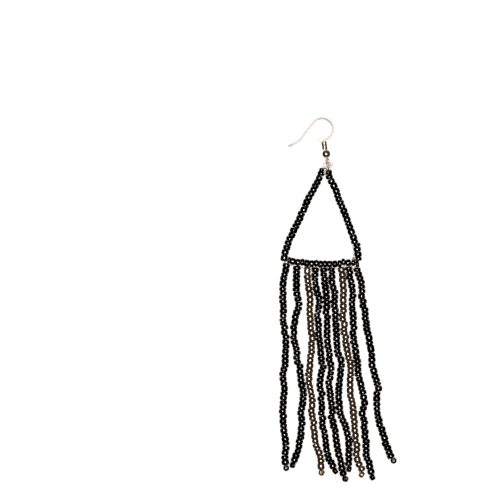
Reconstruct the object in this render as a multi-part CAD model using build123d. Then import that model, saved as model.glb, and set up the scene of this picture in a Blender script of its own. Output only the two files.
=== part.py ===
"""A beaded drop earring that lies on its surface.

A shepherd's hook of silvery wire carries a coil and a ball, and its eye holds a jump ring. The ring
carries a triangle of three bead strings, and nine longer bead strings hang from the triangle's foot.
Each string of beads is one round solid of the beads' diameter. All sizes are in millimetres.

The part is built round the middle of the triangle's foot, and is then set with the middle of its outline
at the origin. +Y points up the earring, to the hook, and the surface that it lies on is at Z = 0.
"""
from build123d import *
import os
from math import acos, asin, cos, degrees, pi, radians, sin, sqrt, tan

# Beads
BEAD_DIAMETER = 2.2
END_BEAD_LENGTH = 1.65
BEAD_BORE = 0.8
STRING_GAP = 0.17

# How each hanging strand's last bead lies, in degrees: the turn of its bore about the strand, from level
# and across to upright, and then the bore's lean along the strand
END_BEAD_TURNS = (
    (84, 8), (20, -10), (72, 6), (5, -8), (62, 18), (12, 20), (10, 42), (15, -18), (80, -8),
)

# Jump ring, a cut ring of round wire
RING_DIAMETER = 3.6
RING_WIRE = 0.6
RING_CUT = 0.1
RING_GAP = 0.12

# Thread through the ring
THREAD_DIAMETER = 0.22
THREAD_GAP = 0.08

# The thread's route from the left string's top to the right string's, in radii of the ring from its centre
THREAD_ROUTE = (
    (-1.50, -0.66, -0.12), (-1.12, -0.72, -0.48), (-0.58, -0.24, -0.46), (-0.10, -0.60, 0.10), (0.12, -1.04, 0.12),
)

# Ear wire, whose eye is an oval
HOOK_WIRE = 0.7
HOOK_LEAN = 101.8
EYE_RADIUS = 1.05
EYE_RUN = 0.7
EYE_NECK_RADIUS = 0.45
EYE_OPENING = 36.0
EYE_TURN = 65.0
EYE_PLAY = 0.06

# The ear wire's bends, from the ball up to the tip: a straight run, then a bend with its radius and its
# turn, which is positive to the left
BALL_BEND_RADIUS = 2.0
BALL_BEND_TURN = 13.3
BALL_RUN = 0.82
COIL_BEND_RADIUS = 1.5
COIL_BEND_TURN = -17.6
SHANK_RUN = 3.19
KINK_RADIUS = 0.5
KINK_TURN = -83.3
CROWN_RADIUS = 3.94
CROWN_TURN = 218.6
BACK_RUN = 7.0
TAIL_RADIUS = 6.0
TAIL_TURN = -26.7
TIP_RUN = 2.46

# Ball on the ear wire
BALL_DIAMETER = 2.7
BALL_BORE = 1.2
BALL_GAP = 0.15

# Coil on the ear wire
COIL_WIRE = 0.31
COIL_TURNS = 8.5
COIL_PITCH = 0.335
COIL_BORE = 1.2
COIL_PLAY = 0.12
COIL_GAP = 0.28
COIL_END_RUN = 1.6
COIL_END_RADIUS = 0.35
COIL_END_TURN = 24.0

# Routes of the bead strings, in bead diameters from the middle of the triangle's foot. A side or the bar
# has (across, up) for each point, and a hanging strand has (across, down).
SIDE_LEFT_ROUTE = (
    (-0.33, 15.36), (-0.48, 14.35), (-0.90, 13.40), (-1.57, 12.06), (-2.55, 10.31),
    (-3.75, 7.53), (-5.27, 4.34), (-6.04, 2.37), (-6.42, 0.51),
)
SIDE_RIGHT_ROUTE = (
    (0.90, 15.19), (1.04, 14.20), (1.48, 13.10), (2.06, 11.87), (2.72, 10.07), (3.45, 8.27),
    (4.06, 6.50), (4.75, 4.78), (5.25, 3.27), (5.57, 1.87), (5.68, 0.62),
)
CROSS_BAR_ROUTE = (
    (-5.84, 0.51), (-4.78, 0.29), (-3.31, 0.07), (-1.51, -0.05), (0.46, -0.13),
    (2.26, -0.08), (3.65, 0.05), (4.81, 0.08), (5.86, -0.16),
)
FRINGE_ROUTES = (
    (
        (-5.96, 0.15), (-6.19, 1.44), (-6.38, 2.78), (-6.58, 4.42), (-6.60, 6.38), (-6.48, 7.86),
        (-6.61, 9.25), (-6.32, 11.21), (-6.11, 12.93), (-6.19, 14.90), (-6.27, 16.70), (-6.55, 18.33),
        (-6.38, 20.30), (-6.52, 22.75), (-6.55, 24.70), (-6.50, 26.70), (-6.27, 28.50), (-6.09, 30.00),
        (-6.34, 31.60), (-6.14, 32.95),
    ),
    (
        (-4.32, 0.46), (-4.31, 1.96), (-4.40, 3.60), (-4.26, 5.32), (-4.03, 6.52), (-4.24, 7.86),
        (-4.63, 9.49), (-4.80, 11.13), (-4.78, 12.60), (-4.40, 14.00), (-4.35, 15.55), (-3.91, 16.86),
        (-3.70, 18.58), (-3.39, 20.46), (-3.32, 22.43), (-3.58, 24.23), (-3.54, 26.03), (-3.65, 27.75),
        (-3.90, 29.27), (-4.29, 30.94), (-4.83, 32.48),
    ),
    (
        (-2.62, 0.59), (-2.62, 2.13), (-2.41, 3.85), (-2.21, 5.73), (-2.18, 7.53), (-2.13, 9.17),
        (-1.98, 10.97), (-1.87, 13.01), (-2.05, 15.06), (-2.19, 16.86), (-2.36, 18.33), (-2.21, 20.30),
        (-1.83, 22.10), (-1.83, 24.20), (-1.65, 26.20), (-1.36, 28.00), (-1.15, 29.70), (-0.62, 31.20),
        (-0.43, 32.74), (-0.33, 33.70),
    ),
    (
        (-1.26, 0.70), (-1.36, 2.21), (-1.19, 3.85), (-0.87, 5.48), (-0.64, 6.80), (-0.92, 8.43),
        (-0.80, 10.07), (-0.80, 11.79), (-0.47, 13.42), (-0.38, 15.31), (-0.18, 16.86), (-0.44, 18.66),
        (-0.51, 20.46), (-0.28, 22.18), (-0.26, 23.98), (-0.15, 25.70), (0.18, 27.50), (0.44, 29.30),
        (0.62, 30.94), (1.20, 32.50), (1.70, 33.50),
    ),
    (
        (0.03, 0.70), (0.13, 2.21), (0.26, 3.76), (0.52, 5.48), (0.59, 7.28), (0.62, 9.00),
        (0.70, 10.80), (0.65, 12.60), (0.98, 14.40), (1.15, 16.12), (1.28, 17.68), (0.98, 19.32),
        (1.06, 21.12), (1.33, 23.00), (1.39, 24.88), (1.77, 26.60), (2.08, 28.32), (2.26, 29.88),
        (2.57, 31.43), (2.96, 33.00), (3.11, 33.92), (3.39, 34.72),
    ),
    (
        (1.29, 0.70), (1.41, 2.21), (1.59, 3.76), (1.83, 5.24), (1.82, 7.45), (2.08, 10.15),
        (2.19, 11.87), (2.23, 13.67), (2.59, 14.98), (2.90, 16.37), (2.83, 18.17), (2.59, 19.64),
        (2.52, 21.44), (2.60, 23.08), (2.83, 24.72), (3.40, 26.11), (3.86, 27.67), (4.08, 29.30),
        (4.22, 30.94), (4.11, 32.25), (4.17, 33.10),
    ),
    (
        (2.96, 0.69), (3.14, 2.13), (3.27, 3.76), (3.24, 5.40), (3.31, 6.71), (3.22, 8.18),
        (3.31, 9.82), (3.37, 11.13), (3.68, 12.77), (3.93, 14.24), (4.31, 15.96), (4.44, 17.84),
        (4.42, 19.80), (4.47, 21.60), (4.83, 23.30), (4.96, 25.20), (5.16, 27.00), (5.29, 28.65),
        (5.45, 30.30), (5.50, 31.75), (5.99, 33.00), (6.17, 33.98),
    ),
    (
        (4.05, 0.60), (4.26, 1.80), (4.58, 3.27), (4.78, 4.58), (4.68, 6.22), (4.75, 7.86),
        (4.89, 9.49), (4.91, 11.46), (5.01, 12.93), (5.40, 14.57), (5.63, 16.45), (5.76, 18.25),
        (6.11, 19.97), (6.47, 21.53), (6.65, 23.25), (6.47, 24.80), (6.73, 26.52), (6.91, 28.24),
        (6.99, 29.96), (7.15, 31.60), (7.55, 33.07), (7.89, 34.46),
    ),
    (
        (5.63, 0.74), (5.70, 1.80), (6.09, 3.11), (6.40, 4.50), (6.50, 6.38), (6.76, 7.94),
        (7.01, 9.49), (7.25, 11.30), (7.56, 12.93), (7.91, 14.65), (8.00, 16.37), (8.35, 18.00),
        (8.76, 19.32), (8.95, 20.70), (8.72, 22.26), (8.81, 23.98), (9.02, 25.54), (9.54, 27.09),
        (9.89, 28.57), (10.35, 29.88), (10.75, 31.07), (11.20, 31.81),
    ),
)

# Shares of a run that the bend at each of its ends takes
BEND_SHARE = 0.45

BEAD_RADIUS = BEAD_DIAMETER / 2


def route_radii(points: list[Vector]) -> list[float]:
    """The largest bend that each corner of a route has room for."""
    radii = []
    for before, corner, after in zip(points, points[1:], points[2:]):
        turn = (corner - before).get_angle(after - corner)
        shorter = min((corner - before).length, (after - corner).length)
        radii.append(BEND_SHARE * shorter / tan(radians(turn) / 2))
    return radii


def round_solid(line: Wire, diameter: float) -> Part:
    """A round bar of the given diameter along a line."""
    section = Plane(origin=line @ 0, z_dir=line % 0) * Circle(diameter / 2)
    return sweep(section, path=line)


def along_route(name: str, points: list[Vector], diameter: float) -> Part:
    """A round bar along straight runs joined by bends, with its bends and its volume printed."""
    radii = route_radii(points)
    line = Wire(FilletPolyline(*points, radius=radii).edges())
    solid = round_solid(line, diameter)
    expected = pi * diameter**2 / 4 * line.length
    print(
        f"{name}: length {line.length:.1f}, tightest bend {min(radii):.2f}, "
        f"bends {' '.join(f'{radius:.0f}' for radius in radii)}, volume share {solid.volume / expected:.4f}"
    )
    return solid


def string_points(route: tuple, up: int) -> list[Vector]:
    """A bead string's route in millimetres, with the beads resting on the surface."""
    return [
        Vector(across * BEAD_DIAMETER, up * along * BEAD_DIAMETER, BEAD_RADIUS) for across, along in route
    ]


def end_bead(points: list[Vector], turn: float, lean: float) -> Part:
    """The drilled bead at the foot of a strand, a thick ring that is turned and rests on the surface."""
    up = Vector(0, 0, 1)
    heading = (points[-1] - points[-2]).normalized()
    across = up.cross(heading).rotate(Axis((0, 0, 0), heading), turn)
    bore = across.rotate(Axis((0, 0, 0), heading.cross(across)), -lean)
    wall = BEAD_RADIUS - BEAD_BORE / 2
    middle = BEAD_BORE / 2 + wall / 2

    def reach(way: Vector) -> float:
        """How far the bead reaches from its centre."""
        along = abs(bore.dot(way))
        aside = sqrt(max(1 - along**2, 0))
        return middle * aside + sqrt((wall / 2 * aside) ** 2 + (END_BEAD_LENGTH / 2 * along) ** 2)

    end = points[-1] + heading * (reach(heading) + STRING_GAP)
    bead = revolve(Pos(middle, 0) * Ellipse(wall / 2, END_BEAD_LENGTH / 2), axis=Axis.Y)
    seat = Plane(origin=(end.X, end.Y, reach(up)), x_dir=heading.cross(bore), z_dir=heading.cross(bore).cross(bore))
    return seat * bead


class WireBender:
    """Lays the middle line of a bent wire, run by run and bend by bend, in one plane."""

    def __init__(self, start: Vector, heading: Vector, normal: Vector):
        self.place = start
        self.heading = heading.normalized()
        self.normal = normal.normalized()
        self.edges = []

    def run(self, length: float):
        """A straight run."""
        end = self.place + self.heading * length
        self.edges.append(Edge.make_line(self.place, end))
        self.place = end

    def bend(self, radius: float, turn: float):
        """A round bend, to the left where the turn in degrees is positive."""
        side = 90 if turn > 0 else -90
        pivot = Axis((0, 0, 0), self.normal)
        centre = self.place + self.heading.rotate(pivot, side) * radius
        spoke = self.place - centre
        middle = centre + spoke.rotate(pivot, turn / 2)
        end = centre + spoke.rotate(pivot, turn)
        self.edges.append(Edge.make_three_point_arc(self.place, middle, end))
        self.heading = self.heading.rotate(pivot, turn)
        self.place = end


def bend_reach(radius: float, turn: float) -> float:
    """How far a bend reaches along each of its runs from the corner between them."""
    return radius * tan(radians(abs(turn)) / 2)


def upper_wire(plane: Plane) -> WireBender:
    """The ear wire's middle line from below the ball to the tip, with the ball's centre at the origin."""
    up = Vector(1, 0).rotate(Axis.Z, HOOK_LEAN)
    shank = plane.from_local_coords(up) - plane.origin
    neck = BALL_DIAMETER / 2 + BALL_GAP
    wire = WireBender(plane.origin - shank * neck, shank, plane.z_dir)
    wire.run(neck - bend_reach(BALL_BEND_RADIUS, BALL_BEND_TURN))
    wire.bend(BALL_BEND_RADIUS, BALL_BEND_TURN)
    wire.run(BALL_RUN)
    wire.bend(COIL_BEND_RADIUS, COIL_BEND_TURN)
    wire.coil_seat = Plane(origin=wire.place, x_dir=plane.z_dir, z_dir=wire.heading)
    wire.run(SHANK_RUN)
    wire.bend(KINK_RADIUS, KINK_TURN)
    wire.crown_centre = wire.place + wire.heading.rotate(Axis((0, 0, 0), plane.z_dir), 90) * CROWN_RADIUS
    wire.bend(CROWN_RADIUS, CROWN_TURN)
    wire.run(BACK_RUN)
    wire.bend(TAIL_RADIUS, TAIL_TURN)
    wire.run(TIP_RUN)
    return wire


class ApexPlan:
    """Where the jump ring and the ear wire lie, worked out from the tops of the two side strings."""

    def __init__(self, left_top: Vector, right_top: Vector):
        self.left_top = left_top
        self.right_top = right_top
        self.ring_radius = (RING_DIAMETER - RING_WIRE) / 2
        self.neck_turn = degrees(acos(EYE_NECK_RADIUS / (EYE_NECK_RADIUS + EYE_RADIUS)))
        eye_drop = (EYE_NECK_RADIUS + EYE_RADIUS) * sin(radians(self.neck_turn))
        eye_distance = BALL_DIAMETER / 2 + BALL_GAP + eye_drop

        crown_height = max(edge.bounding_box().max.Y for edge in upper_wire(Plane.XY).edges)
        self.lean = degrees(asin((BALL_DIAMETER - HOOK_WIRE) / 2 / crown_height))
        up_shank = Vector(1, 0).rotate(Axis.Z, HOOK_LEAN).rotate(Axis.X, -self.lean)

        slack = EYE_RADIUS - (HOOK_WIRE + RING_WIRE) / 2 - EYE_PLAY
        foot = RING_WIRE / 2 + THREAD_DIAMETER + 2 * THREAD_GAP
        crossing = BALL_DIAMETER / 2 - up_shank.Z * (eye_distance - slack)
        self.ring_tilt = degrees(asin((crossing - foot) / 2 / self.ring_radius))
        outer = RING_DIAMETER / 2 + RING_GAP
        ring_y = right_top.Y + outer * cos(radians(self.ring_tilt))
        beside = sqrt(max(outer**2 - (ring_y - left_top.Y) ** 2, 0))
        self.ring_centre = Vector(left_top.X + BEAD_RADIUS + beside, ring_y, (crossing + foot) / 2)
        eye = self.on_ring(90) - up_shank * slack
        ball = eye + up_shank * eye_distance
        self.ball_centre = Vector(ball.X, ball.Y, BALL_DIAMETER / 2)
        self.up_shank = up_shank
        self.hook_plane = Plane(
            origin=self.ball_centre, x_dir=(1, 0, 0), z_dir=Vector(0, 0, 1).rotate(Axis.X, -self.lean)
        )

    def on_ring(self, angle: float) -> Vector:
        """A point of the ring's middle line, at an angle from +X in the ring's own plane."""
        flat = Vector(self.ring_radius, 0).rotate(Axis.Z, angle).rotate(Axis.X, self.ring_tilt)
        return self.ring_centre + flat


def ear_hook(plan: ApexPlan, upper: WireBender) -> Part:
    """The ear wire: one bent wire from the cut end of its eye to its rounded tip."""
    shank = plan.up_shank
    turned = shank.cross(plan.hook_plane.z_dir).rotate(Axis((0, 0, 0), shank), EYE_TURN)
    neck = plan.ball_centre - shank * (BALL_DIAMETER / 2 + BALL_GAP)
    eye = WireBender(neck, shank * -1, turned.cross(shank))
    eye.bend(EYE_NECK_RADIUS, -plan.neck_turn)
    eye.bend(EYE_RADIUS, plan.neck_turn)
    eye.run(EYE_RUN)
    eye.bend(EYE_RADIUS, 180)
    eye.run(EYE_RUN)
    eye.bend(EYE_RADIUS, 90 - EYE_OPENING)
    line = Wire(eye.edges + upper.edges)
    return round_solid(line, HOOK_WIRE) + Pos(*upper.place) * Sphere(HOOK_WIRE / 2)


def hook_ball(plan: ApexPlan) -> Part:
    """The drilled ball under the coil. Its bore is wide enough for the wire's slight bend."""
    middle_heading = HOOK_LEAN + BALL_BEND_TURN / 2
    along = plan.hook_plane.from_local_coords(Vector(1, 0).rotate(Axis.Z, middle_heading)) - plan.ball_centre
    bore = Plane(origin=plan.ball_centre, z_dir=along) * Cylinder(BALL_BORE / 2, 2 * BALL_DIAMETER)
    return Pos(*plan.ball_centre) * Sphere(BALL_DIAMETER / 2) - bore


def hook_coil(seat: Plane) -> Part:
    """The close coil round the shank, whose upper end sticks out to the side."""
    mean_radius = (COIL_BORE + COIL_WIRE) / 2
    turns_line = Helix(COIL_PITCH, COIL_TURNS * COIL_PITCH, mean_radius)
    top = turns_line @ 1
    end = WireBender(top, turns_line % 1, Vector(top.X, top.Y))
    end.bend(COIL_END_RADIUS, COIL_END_TURN)
    end.run(COIL_END_RUN)
    line = Wire([turns_line.edge()] + end.edges)
    coil = round_solid(line, COIL_WIRE)
    play = seat.y_dir * COIL_PLAY
    lift = seat.z_dir * (COIL_GAP - bend_reach(COIL_BEND_RADIUS, COIL_BEND_TURN) + COIL_WIRE / 2)
    return Plane(origin=seat.origin + play + lift, x_dir=seat.x_dir, z_dir=seat.z_dir) * coil


def jump_ring(plan: ApexPlan) -> Part:
    """The cut ring through the ear wire's eye."""
    cut_turn = degrees(RING_CUT / plan.ring_radius)
    start = Vector(plan.ring_radius, 0).rotate(Axis.Z, cut_turn / 2)
    ring = WireBender(start, start.cross(Vector(0, 0, -1)), Vector(0, 0, 1))
    ring.bend(plan.ring_radius, 360 - cut_turn)
    seat = Plane(origin=plan.ring_centre, z_dir=Vector(0, 0, 1).rotate(Axis.X, plan.ring_tilt), x_dir=(1, 0, 0))
    return seat * round_solid(Wire(ring.edges), RING_WIRE)


def apex_thread(plan: ApexPlan) -> Part:
    """The thread from the left side string, under and over the jump ring, to the right side string."""
    clear = Vector(0, THREAD_GAP + THREAD_DIAMETER / 2, 0)
    route = [plan.ring_centre + Vector(*share) * plan.ring_radius for share in THREAD_ROUTE]
    points = [plan.left_top + clear] + route + [plan.right_top + clear]
    return along_route("apex_thread", points, THREAD_DIAMETER)


def build(plan: ApexPlan, upper: WireBender, side_left: list, side_right: list) -> dict[str, Part]:
    """Every piece of the earring, by name, round the middle of the triangle's foot."""
    pieces = {
        "ear_hook": ear_hook(plan, upper),
        "hook_coil": hook_coil(upper.coil_seat),
        "hook_ball": hook_ball(plan),
        "jump_ring": jump_ring(plan),
        "apex_thread": apex_thread(plan),
        "side_left": along_route("side_left", side_left, BEAD_DIAMETER),
        "side_right": along_route("side_right", side_right, BEAD_DIAMETER),
        "cross_bar": along_route("cross_bar", string_points(CROSS_BAR_ROUTE, 1), BEAD_DIAMETER),
    }
    for number, (route, turns) in enumerate(zip(FRINGE_ROUTES, END_BEAD_TURNS), start=1):
        points = string_points(route, -1)
        pieces[f"fringe_{number}"] = along_route(f"fringe_{number}", points, BEAD_DIAMETER)
        pieces[f"end_bead_{number}"] = end_bead(points, *turns)
    return pieces


left_points = string_points(SIDE_LEFT_ROUTE, 1)
right_points = string_points(SIDE_RIGHT_ROUTE, 1)
apex = ApexPlan(left_points[0], right_points[0])
hook_line = upper_wire(apex.hook_plane)
pieces = build(apex, hook_line, left_points, right_points)

boxes = [piece.bounding_box() for piece in pieces.values()]
middle_x = (min(box.min.X for box in boxes) + max(box.max.X for box in boxes)) / 2
middle_y = (min(box.min.Y for box in boxes) + max(box.max.Y for box in boxes)) / 2
centring = Vector(-middle_x, -middle_y, 0)
os.makedirs("parts", exist_ok=True)
for name, piece in pieces.items():
    export_step(Pos(*centring) * piece, f"parts/{name}.step")

print(f"middle of the triangle's foot at {centring}")
print(f"ear wire's tip at {hook_line.place + centring}, pointing {hook_line.heading}")
print(f"crown's centre at {hook_line.crown_centre + centring}")
print(f"ring's centre at {apex.ring_centre + centring}, ball's centre at {apex.ball_centre + centring}")
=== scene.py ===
"""A beaded drop earring that lies on a white table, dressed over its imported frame.

Every string of beads replaces its plain round solid with drilled glass beads on a nylon thread. The ear
wire, its coil and ball, the jump ring and the last bead of each strand keep the frame's own meshes and get
their finishes here. All lengths are in metres, and the routes are in bead diameters from the middle of the
triangle's foot.
"""
import logging
from dataclasses import dataclass
from enum import Enum

import bpy
import numpy as np
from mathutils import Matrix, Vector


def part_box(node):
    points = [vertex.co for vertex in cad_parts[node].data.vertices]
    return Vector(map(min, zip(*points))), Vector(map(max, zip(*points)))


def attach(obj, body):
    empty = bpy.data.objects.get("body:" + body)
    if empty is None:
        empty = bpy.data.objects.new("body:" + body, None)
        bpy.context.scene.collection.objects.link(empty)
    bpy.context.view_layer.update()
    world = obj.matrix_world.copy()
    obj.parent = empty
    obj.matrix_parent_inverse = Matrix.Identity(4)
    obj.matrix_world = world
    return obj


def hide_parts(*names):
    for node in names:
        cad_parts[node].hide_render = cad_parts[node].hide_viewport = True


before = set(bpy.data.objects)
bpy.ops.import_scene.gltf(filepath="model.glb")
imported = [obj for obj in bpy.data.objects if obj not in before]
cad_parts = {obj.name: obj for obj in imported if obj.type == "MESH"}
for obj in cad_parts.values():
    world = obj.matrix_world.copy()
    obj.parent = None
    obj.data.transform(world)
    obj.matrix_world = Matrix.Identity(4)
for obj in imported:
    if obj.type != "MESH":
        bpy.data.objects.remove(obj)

log = logging.getLogger("earring")

Array = np.ndarray
Material = bpy.types.Material
Socket = bpy.types.NodeSocket

MM = 0.001
BEAD = 2.2 * MM
BORE = 0.8 * MM
NYLON = 0.22 * MM
GRAIN_DEPTH = 0.01 * MM
TABLE_GAP = 0.01 * MM
DOME_ANGLES = (20.0, 55.0, 90.0)
NOISE_RANGE = (0.25, 0.75)
NEVER_ZERO = 1e-9
SPLINE_ORDER = 3
SPLINE_STEPS = 16
# A Mix node has its own sockets for each kind of value, and these are the ones for colours.
MIX_UNDER, MIX_OVER, MIX_RESULT = 6, 7, 2
FOOT = np.array([-5.4 * MM, 13.162 * MM, 0.0])
UP = np.array([0.0, 0.0, 1.0])


def unit(vectors: Array) -> Array:
    """Vectors divided by their own lengths."""
    return vectors / np.linalg.norm(vectors, axis=-1, keepdims=True)


class Run(Enum):
    """Which way a string runs in the picture, as the column and the sign of its running measure."""

    ACROSS = (0, 1.0)
    UP = (1, 1.0)
    DOWN = (1, -1.0)


def level_points(route: tuple, run: Run) -> Array:
    """Route points in metres, with the beads resting on the table.

    Args:
        route: (across, along) for each point, in bead diameters from the middle of the foot.
        run: which way the string runs. The second number counts downwards for a hanging strand.

    Returns:
        An array of points, one row each.
    """
    pairs = np.array(route, dtype=float) * BEAD
    pairs[:, 1] *= run.value[1]
    return FOOT + np.column_stack([pairs, np.full(len(pairs), BEAD / 2)])


def placed_points(route: tuple) -> Array:
    """Points in metres, from (across, up the picture, height) for each in bead diameters from the foot."""
    return FOOT + np.array(route, dtype=float) * BEAD


def sharpened(points: Array, gain: float = 0.4) -> Array:
    """Control points for a spline that is to run through about the given points.

    A spline of order 3 cuts its controls' corners, so each inner point moves away from the middle of its two
    neighbours by a share of how far it is from there already.

    Args:
        points: the points to run through, one row each.
        gain: that share.

    Returns:
        The control points.
    """
    controls = points.copy()
    controls[1:-1] += gain * (points[1:-1] - (points[:-2] + points[2:]) / 2)
    return controls


class Line:
    """A smooth line read from a spline, which is then looked up by its running length."""

    def __init__(self, controls: Array) -> None:
        """Reads the line and measures along it.

        Args:
            controls: the control points of its spline, one row each.
        """
        self.points = self.from_spline(controls)
        steps = np.linalg.norm(np.diff(self.points, axis=0), axis=1)
        self.running = np.concatenate([[0.0], np.cumsum(steps)])
        self.length = float(self.running[-1])

    @staticmethod
    def from_spline(controls: Array) -> Array:
        """Reads the line of a NURBS spline of order 3 that has the given control points.

        Args:
            controls: the spline's control points, one row each.

        Returns:
            Points along the spline, one row each.
        """
        curve = bpy.data.curves.new("route", "CURVE")
        curve.dimensions = "3D"
        curve.resolution_u = SPLINE_STEPS
        spline = curve.splines.new("NURBS")
        spline.points.add(len(controls) - 1)
        spline.points.foreach_set("co", np.column_stack([controls, np.ones(len(controls))]).ravel())
        spline.order_u = SPLINE_ORDER
        spline.use_endpoint_u = True
        carrier = bpy.data.objects.new("route", curve)
        mesh = bpy.data.meshes.new_from_object(carrier)
        points = np.empty(len(mesh.vertices) * 3)
        mesh.vertices.foreach_get("co", points)
        bpy.data.objects.remove(carrier)
        bpy.data.curves.remove(curve)
        bpy.data.meshes.remove(mesh)
        return points.reshape(-1, 3)

    def at(self, distance: Array) -> Array:
        """Points at the given distances from the line's start."""
        return np.column_stack([np.interp(distance, self.running, column) for column in self.points.T])

    def heading(self, distance: Array, reach: float) -> Array:
        """Unit vectors along the line, each read over a reach to both sides of its point.

        Args:
            distance: how far the points are from the line's start.
            reach: how far the line is read to each side.

        Returns:
            The vectors, one row each.
        """
        ahead = self.at(np.clip(distance + reach, 0.0, self.length))
        behind = self.at(np.clip(distance - reach, 0.0, self.length))
        return unit(ahead - behind)


def new_object(name: str, data: bpy.types.ID) -> bpy.types.Object:
    """Makes an object at the origin and puts it in the scene.

    Args:
        name: the object's name.
        data: its mesh, light or camera.

    Returns:
        The new object.
    """
    made = bpy.data.objects.new(name, data)
    bpy.context.scene.collection.objects.link(made)
    return made


def piece(name: str, points: Array, faces: list, finish: Material) -> bpy.types.Object:
    """Makes a smooth mesh object at the origin that rides on the earring.

    Args:
        name: the piece's name.
        points: its vertices, in any shape that ends in three columns.
        faces: rows of vertex numbers.
        finish: its material.

    Returns:
        The new object.
    """
    mesh = bpy.data.meshes.new(name)
    mesh.from_pydata(points.reshape(-1, 3).tolist(), [], faces)
    mesh.polygons.foreach_set("use_smooth", np.ones(len(mesh.polygons), dtype=bool))
    mesh.materials.append(finish)
    mesh.update()
    made = new_object(name, mesh)
    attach(made, "root")
    return made


def thread_surface(line: Line, radius: float, sides: int, steps: int, reference: Array) -> tuple:
    """A round thread with domed ends.

    It is a circle carried along a line, whose radius follows a quarter circle at each end.

    Args:
        line: the thread's middle line.
        radius: the thread's radius.
        sides: the number of points round the thread.
        steps: the number of rings from dome to dome, with the last ring of each.
        reference: a direction that the line never follows, which the circle's first spoke turns from.

    Returns:
        The vertices as (rings, sides, 3) and the list of faces.
    """
    dome = np.radians(DOME_ANGLES)
    start = radius * (1.0 - np.cos(dome))
    middle = np.linspace(start[-1], line.length - start[-1], steps)[1:-1]
    distance = np.concatenate([start, middle, line.length - start[::-1]])
    swell = np.concatenate([np.sin(dome), np.ones(len(middle)), np.sin(dome)[::-1]]) * radius
    heading = line.heading(distance, radius)
    side = unit(np.cross(reference, heading))
    over = np.cross(heading, side)
    points = line.at(distance)[:, None, :] + swell[:, None, None] * spokes(sides, side, over)
    return points, tube_faces(len(distance), sides)


def spokes(sides: int, side: Array, over: Array) -> Array:
    """Directions round each of some points, as (points, sides, 3), that turn from one side to another."""
    turn = np.linspace(0.0, 2.0 * np.pi, sides, endpoint=False)[None, :, None]
    return np.cos(turn) * side[:, None, :] + np.sin(turn) * over[:, None, :]


def tube_faces(rings: int, sides: int) -> list:
    """The quads between the rings of a tube, and a cap at each end.

    Args:
        rings: the number of rings.
        sides: the number of points round each ring.

    Returns:
        The faces, as rows of vertex numbers.
    """
    ring, spoke = np.indices((rings - 1, sides))
    after = (spoke + 1) % sides
    corners = np.stack([spoke, after, after + sides, spoke + sides], axis=-1)
    quads = (ring[..., None] * sides + corners).reshape(-1, 4)
    first = list(range(sides))[::-1]
    last = list(range((rings - 1) * sides, rings * sides))
    return quads.tolist() + [first, last]


class Glass(Enum):
    """The glass that a string's beads are made of."""

    JET = "black"
    BRONZE = "bronze"


def set_inputs(node: bpy.types.Node, **values: float | tuple) -> None:
    """Sets a node's own sockets, whose names have underscores here for their spaces."""
    for socket, value in values.items():
        node.inputs[socket.replace("_", " ")].default_value = value


def set_stops(node: bpy.types.Node, stops: list | tuple) -> None:
    """Gives a colour ramp its stops.

    Args:
        node: the colour ramp.
        stops: (place, (red, green, blue)) for each stop, in rising order.
    """
    elements = node.color_ramp.elements
    while len(elements) < len(stops):
        elements.new(1.0)
    for element, (place, colour) in zip(elements, stops):
        element.position = place
        element.color = (*colour, 1.0)


@dataclass(frozen=True)
class Grain:
    """A shader node group that breaks up a finish: a cloudy mask, and fine ripples as a height."""

    name: str = "uneven_finish"
    cloud_detail: float = 3.0
    ripple_detail: float = 4.0
    ripple_roughness: float = 0.6

    def group(self) -> bpy.types.ShaderNodeTree:
        """Builds the group the first time, and finds it again after that.

        Returns:
            The group.
        """
        if self.name in bpy.data.node_groups:
            return bpy.data.node_groups[self.name]
        tree = bpy.data.node_groups.new(self.name, "ShaderNodeTree")
        for socket in ("Cloud Scale", "Ripple Scale"):
            tree.interface.new_socket(socket, in_out="INPUT", socket_type="NodeSocketFloat")
        for socket in ("Cloud", "Ripple"):
            tree.interface.new_socket(socket, in_out="OUTPUT", socket_type="NodeSocketFloat")
        nodes, links = tree.nodes, tree.links
        entry = nodes.new("NodeGroupInput")
        leave = nodes.new("NodeGroupOutput")
        place = nodes.new("ShaderNodeTexCoord")
        cloud = nodes.new("ShaderNodeTexNoise")
        set_inputs(cloud, Detail=self.cloud_detail)
        ripple = nodes.new("ShaderNodeTexNoise")
        set_inputs(ripple, Detail=self.ripple_detail, Roughness=self.ripple_roughness)
        links.new(place.outputs["Object"], cloud.inputs["Vector"])
        links.new(place.outputs["Object"], ripple.inputs["Vector"])
        links.new(entry.outputs["Cloud Scale"], cloud.inputs["Scale"])
        links.new(entry.outputs["Ripple Scale"], ripple.inputs["Scale"])
        links.new(cloud.outputs["Fac"], leave.inputs["Cloud"])
        links.new(ripple.outputs["Fac"], leave.inputs["Ripple"])
        return tree


@dataclass(frozen=True)
class Wear:
    """How uneven a finish is.

    Cloud and ripple are the scales of its cloudy patches and its fine ripples, in features per metre.
    Roughness is its least and most, and relief is the ripples' strength from 0 to 1.
    """

    cloud: float
    ripple: float
    roughness: tuple
    relief: float


@dataclass(frozen=True)
class DarkPatch:
    """A darker patch painted into a metal's colour, which at the hook's eye is painted shade.

    Its middle is (across, up, height) from the foot, and like its reach it is in bead diameters. It has its
    full strength over its core, which is a share of its reach.
    """

    middle: tuple
    reach: float
    strength: float
    core: float = 0.35


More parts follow.
